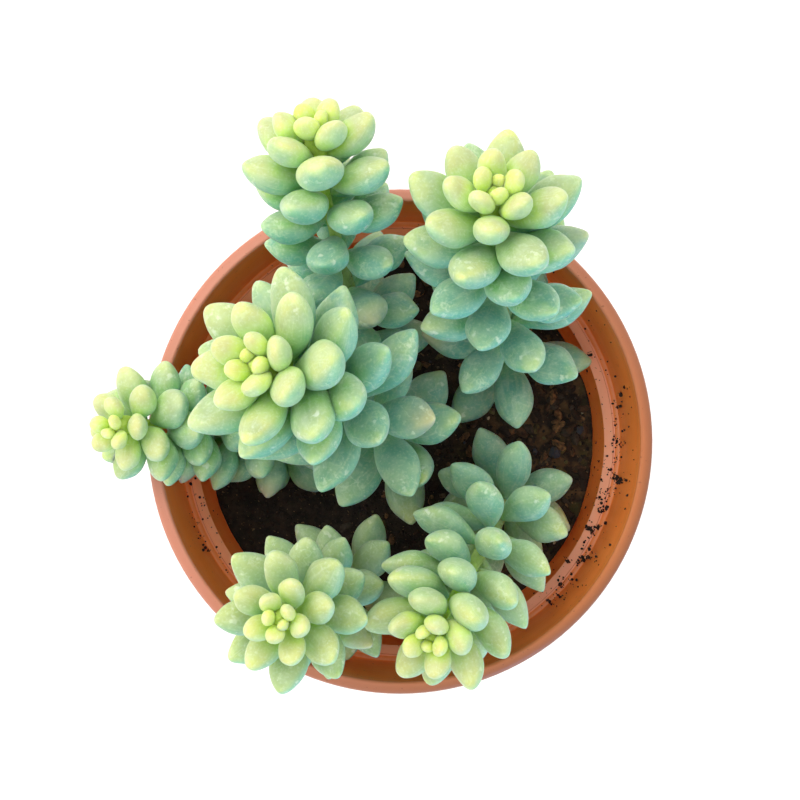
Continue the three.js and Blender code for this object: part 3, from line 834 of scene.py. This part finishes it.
def shaped_leaf(leaf, luck, beside):
    """A copy of the leaf pattern bent to its place, uneven as grown leaves are, with pointed old tips."""
    copy = copy_of(leaf_pattern)
    age = min(1, leaf["number"] / OLD_LEAF)
    u = cage[:, 2].copy()
    tip = ((u - POINTED_FROM) / (1 - POINTED_FROM)).clip(0, 1)
    taper = 1 - POINTEDNESS * age * tip**2 + BLUNTNESS * (1 - age) * tip**3
    swollen = 1 + YOUNG_GIRTH * (1 - age)
    girth = leaf["half_width"] * swollen * taper * (1 + FACET * draw.normal(size=len(cage)))
    drawn_out = {**leaf, "length": leaf["length"] * (1 + YOUNG_LENGTH * (1 - age))}
    u[u > 0.99] += TIP_POINT * age
    places, across, upper = leaf_pose(drawn_out, u)
    flatness = np.where(cage[:, 1] < 0, UPPER_FLATNESS, LOWER_FLATNESS)
    sideways = (girth * cage[:, 0])[:, None] * across
    downwards = (girth * flatness * cage[:, 1])[:, None] * upper
    bent = places + sideways - downwards
    copy.data.vertices.foreach_set("co", (bent * MM).ravel())
    facing = -cage[:, 1] / np.hypot(cage[:, 0], cage[:, 1]).clip(1e-3)
    marks = {"leaf_along": u, "leaf_upper": facing, "leaf_age": age, "leaf_luck": luck,
             "leaf_pressed": pressed(bent, beside)}
    for name, values in marks.items():
        hold(copy, name, values)
    return copy


AGED_LENGTH = 45
CORE_RADIUS = 2.8
CROWN_HALVES = (0.16, 0.16, 0.3)
CROWN_SINK = 4
LEAF_SMOOTHING = 2


def stem_core(stem):
    """The stem itself, a thickened curve from below the mix to the tip, with the growing point round it."""
    surface, shoulder, neck, tip = [Vector(place) * MM for place in stem_controls(stem)]
    foot = surface - Vector((0, 0, STEM_SUNK * MM))
    bpy.ops.object.select_all(action="DESELECT")
    bpy.ops.curve.primitive_bezier_curve_add()
    curve = bpy.context.object.data
    curve.splines[0].bezier_points.add(1)
    curve.resolution_u = 24
    curve.bevel_depth = CORE_RADIUS * MM
    curve.bevel_resolution = 3
    curve.use_fill_caps = True
    ends = [(foot, foot, surface), (foot, surface, shoulder), (neck, tip, 2 * tip - neck)]
    for point, (before, at, after) in zip(curve.splines[0].bezier_points, ends):
        point.handle_left_type = "FREE"
        point.handle_right_type = "FREE"
        point.handle_left = before
        point.co = at
        point.handle_right = after
    curve.splines[0].bezier_points[2].radius = 0.4
    bpy.ops.object.convert(target="MESH")
    stalk = settle("stalk")
    ahead = (tip - neck).normalized()
    bpy.ops.mesh.primitive_uv_sphere_add(segments=20, ring_count=14, radius=1)
    bpy.ops.object.mode_set(mode="EDIT")
    bpy.ops.transform.resize(value=[half * stem["leaf_length"] * MM for half in CROWN_HALVES])
    bpy.ops.object.mode_set(mode="OBJECT")
    crown = settle("crown")
    leaning = ahead.to_track_quat("Z", "Y").to_matrix().to_4x4()
    crown.data.transform(Matrix.Translation(tip - ahead * CROWN_SINK * MM) @ leaning)
    core = joined([stalk, crown], "core_" + stem["name"])
    hold(core, "leaf_age", [min(1, (v.co - tip).length / (AGED_LENGTH * MM)) for v in core.data.vertices])
    return core


SHADED_SIDE = (0.45, -0.85, -0.25)
skin, tree, shader = new_finish("leaf_skin", {
    "Subsurface Weight": 0.9, "Subsurface Radius": (0.95, 1, 0.4), "Subsurface Scale": 7 * MM,
    "Sheen Weight": 0.25, "Sheen Roughness": 0.4, "Sheen Tint": colour(214, 236, 240), "IOR": 1.42,
})
coordinates = node(tree, "ShaderNodeTexCoord").outputs
place = coordinates["Object"]
along = attribute(tree, "leaf_along")
upper = attribute(tree, "leaf_upper")
luck = attribute(tree, "leaf_luck")
age = attribute(tree, "leaf_age")
ages = node(tree, "ShaderNodeValToRGB", {"Fac": age})
stops = ages.color_ramp.elements
AGE_COLOURS = [
    (0, colour(197, 190, 128)), (0.2, colour(188, 189, 138)), (0.45, colour(170, 184, 136)),
    (0.75, colour(142, 178, 144)), (1, colour(112, 170, 152)),
]
while len(stops) < len(AGE_COLOURS):
    stops.new(1)
for stop, (at, shown) in zip(stops, AGE_COLOURS):
    stop.position = at
    stop.color = shown
green = ages.outputs["Color"]
beneath = times(tree, spread(tree, upper, 0.35, -0.55), spread(tree, age, 0.1, 0.6, 0.2, 0.6))
green = painted(tree, beneath, green, colour(114, 190, 167))
# Bright sap green at the leaves' roots and where they press on each other: partly bloom rubbed off, partly
# painted light standing in for light glowing through the crowded leaves.
sappy_glow = painted(tree, spread(tree, age, 0.15, 0.7), colour(212, 242, 104), colour(124, 188, 108))
green = painted(tree, spread(tree, along, 0.45, 0.02, 0, 0.75), green, sappy_glow)
green = painted(tree, times(tree, attribute(tree, "leaf_pressed"), 0.85), green, sappy_glow)
flush = times(tree, spread(tree, along, 0.55, 0.95), patches(tree, place, 160, 0.3, 0.6))
green = painted(tree, times(tree, flush, spread(tree, luck, 0, 1, 0.15, 0.6)), green, colour(226, 228, 138))
# Old leaves on the front painted yellower: painted warm light, leaving the back ones bluer as in shade.
northing = node(tree, "ShaderNodeSeparateXYZ", {"Vector": place}).outputs["Y"]
front_warm_light = times(tree, spread(tree, northing, 0, -0.04, 0, 0.55), age)
front_warm_light = times(tree, front_warm_light, spread(tree, northing, -0.072, -0.056, 0.1, 1))
green = painted(tree, front_warm_light, green, colour(188, 196, 118))
# Painted shade: leaf faces turned away from the lamps, to the front, right and below, painted blue-green.
shaded = towards(tree, coordinates["Normal"], SHADED_SIDE)
painted_blue_shade = times(tree, spread(tree, shaded, -0.2, 0.9), spread(tree, age, 0.1, 0.7, 0.25, 0.95))
green = painted(tree, painted_blue_shade, green, colour(98, 176, 164))
bloom = times(tree, patches(tree, place, 240, 0.42, 0.75, detail=5), 0.3)
green = painted(tree, bloom, green, colour(206, 224, 196))
lengthwise = node(tree, "ShaderNodeCombineXYZ", {
    "X": times(tree, upper, 3), "Y": times(tree, luck, 20), "Z": times(tree, along, 0.5),
}).outputs[0]
streaks = times(tree, patches(tree, lengthwise, 5, 0.55, 0.7, detail=4), 0.18)
green = painted(tree, streaks, green, colour(222, 232, 202))
dust = times(tree, patches(tree, place, 1300, 0.5, 0.7, detail=4), 0.22)
green = painted(tree, dust, green, colour(222, 234, 212))
mauve = times(tree, spread(tree, along, 0.62, 0.98, 0, 0.5), spread(tree, luck, 0.88, 0.94))
mauve = times(tree, mauve, spread(tree, age, 0.6, 0.9))
green = painted(tree, mauve, green, colour(178, 156, 150))
# Whitish marks near the tips of older leaves: rubbed bloom that is glossier, and painted highlight for the
# glints on it.
near_tip = times(tree, spread(tree, along, 0.68, 0.8), spread(tree, along, 0.97, 0.9))
scuffs_and_glints = times(tree, near_tip, patches(tree, place, 420, 0.6, 0.68, detail=6))
scuffs_and_glints = times(tree, scuffs_and_glints, spread(tree, age, 0.25, 0.5))
green = painted(tree, times(tree, scuffs_and_glints, 0.55), green, colour(232, 240, 226))
creases = times(tree, patches(tree, place, 210, 0.47, 0.5), patches(tree, place, 210, 0.53, 0.5))
creased = times(tree, patches(tree, place, 95, 0.5, 0.6), spread(tree, age, 0.35, 0.75))
creased = times(tree, creased, spread(tree, along, 0.3, 0.6))
green = painted(tree, times(tree, times(tree, creases, creased), 0.3), green, colour(228, 238, 218))
tree.links.new(green, shader.inputs["Base Color"])
dull = spread(tree, patches(tree, place, 300, 0.3, 0.7), 0, 1, 0.4, 0.52)
rubbed = {0: dull, 1: times(tree, scuffs_and_glints, 0.25)}
waxy = node(tree, "ShaderNodeMath", rubbed, operation="SUBTRACT").outputs[0]
tree.links.new(waxy, shader.inputs["Roughness"])
roughen(tree, shader, patches(tree, place, 500, 0.2, 0.8, detail=4), 0.12)

stem_skin, tree, shader = new_finish("stem_skin", {
    "Roughness": 0.6, "Subsurface Weight": 0.8, "Subsurface Radius": (0.9, 1, 0.35),
    "Subsurface Scale": 5 * MM,
})
place = node(tree, "ShaderNodeTexCoord").outputs["Object"]
old = attribute(tree, "leaf_age")
# The young rind near the tip is a bright yellow-green: partly its own colour, partly painted light standing
# in for light glowing between the young leaves.
rind_and_glow = painted(tree, patches(tree, place, 260, 0.35, 0.65), colour(190, 232, 96), colour(198, 236, 108))
rind_and_glow = painted(tree, spread(tree, old, 0.3, 0.9), rind_and_glow, colour(142, 164, 104))
scars = times(tree, patches(tree, place, 700, 0.6, 0.7), spread(tree, old, 0.75, 1))
rind_and_glow = painted(tree, scars, rind_and_glow, colour(112, 98, 66))
tree.links.new(rind_and_glow, shader.inputs["Base Color"])
roughen(tree, shader, patches(tree, place, 600, 0.3, 0.7), 0.4)

for stem, leaves in zip(STEMS, grow_leaves()):
    core = stem_core(stem)
    core.data.materials.append(stem_skin)
    core.data.shade_smooth()
    copies = []
    for i, leaf in enumerate(leaves):
        copies.append(shaped_leaf(leaf, draw.random(), leaves[:i] + leaves[i + 1:]))
    blades = joined(copies, "blades")
    blades.select_set(True)
    bpy.context.view_layer.objects.active = blades
    bpy.ops.object.mode_set(mode="EDIT")
    bpy.ops.mesh.select_all(action="SELECT")
    bpy.ops.mesh.normals_make_consistent(inside=False)
    settle("blades")
    blades.data.materials.append(skin)
    smoother = blades.modifiers.new("smoother", "SUBSURF")
    smoother.levels = LEAF_SMOOTHING
    smoother.render_levels = LEAF_SMOOTHING
    apply_modifiers(blades)
    blades.data.shade_smooth()
    foliage = joined([blades, core], stem["name"].replace("leafy_stem", "foliage"))
    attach(foliage, "root")
    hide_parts(stem["name"])
bpy.data.objects.remove(leaf_pattern)

# Stage
# A plain white floor and soft studio light: two wide warm lamps at the upper left, a bright pale room,
# and a weak cool lamp low in front. The camera looks down into the pot from almost straight above.
bpy.context.scene.view_settings.view_transform = "Standard"
bpy.ops.object.select_all(action="DESELECT")
bpy.ops.mesh.primitive_plane_add(size=4, location=(0, 0, 0))
floor = settle("floor")
WHITE = (1, 1, 1, 1)
floor_paint, tree, shader = new_finish("white_floor", {
    "Base Color": colour(222, 222, 222), "Roughness": 0.9, "Emission Color": WHITE,
})
seen = node(tree, "ShaderNodeLightPath").outputs["Is Camera Ray"]
tree.links.new(spread(tree, seen, 0, 1, 0.1, 0.4), shader.inputs["Emission Strength"])
floor.data.materials.append(floor_paint)

CAMERA_PLACE = (1.5, -1.5, 525)
LOOKED_AT = (0, 11.8, 125)
FOCAL_PIXELS = 1354
IMAGE_PIXELS = 800
SENSOR_WIDTH = 36
camera_data = bpy.data.cameras.new("camera")
camera = bpy.data.objects.new("camera", camera_data)
bpy.context.scene.collection.objects.link(camera)
forward = (Vector(LOOKED_AT) - Vector(CAMERA_PLACE)).normalized()
right = forward.cross(Vector((0, 1, 0))).normalized()
up = right.cross(forward)
camera.matrix_world = (
    Matrix.Translation(Vector(CAMERA_PLACE) * MM) @ Matrix((right, up, -forward)).transposed().to_4x4())
camera_data.sensor_width = SENSOR_WIDTH
camera_data.lens = SENSOR_WIDTH * FOCAL_PIXELS / IMAGE_PIXELS
bpy.context.scene.camera = camera

world = bpy.data.worlds.new("studio")
world.use_nodes = True
world.node_tree.nodes["Background"].inputs["Color"].default_value = (0.98, 0.98, 0.97, 1)
world.node_tree.nodes["Background"].inputs["Strength"].default_value = 1.1
bpy.context.scene.world = world


def lamp(name, place, size, energy, shown):
    """A square soft lamp, aimed at the plant."""
    data = bpy.data.lights.new(name, "AREA")
    data.size = size
    data.energy = energy
    data.color = shown[:3]
    made = bpy.data.objects.new(name, data)
    bpy.context.scene.collection.objects.link(made)
    made.location = place
    made.rotation_euler = (Vector((0, 0, 0.12)) - made.location).to_track_quat("-Z", "Y").to_euler()


lamp("key", (-0.34, 0.5, 0.75), 0.6, 2.7, (1, 0.93, 0.84))
lamp("left_soft", (-0.7, 0.2, 0.7), 0.6, 2.3, (1, 0.94, 0.86))
lamp("cool_fill", (0.35, -0.7, 0.13), 0.25, 1.5, (0.12, 0.5, 1))
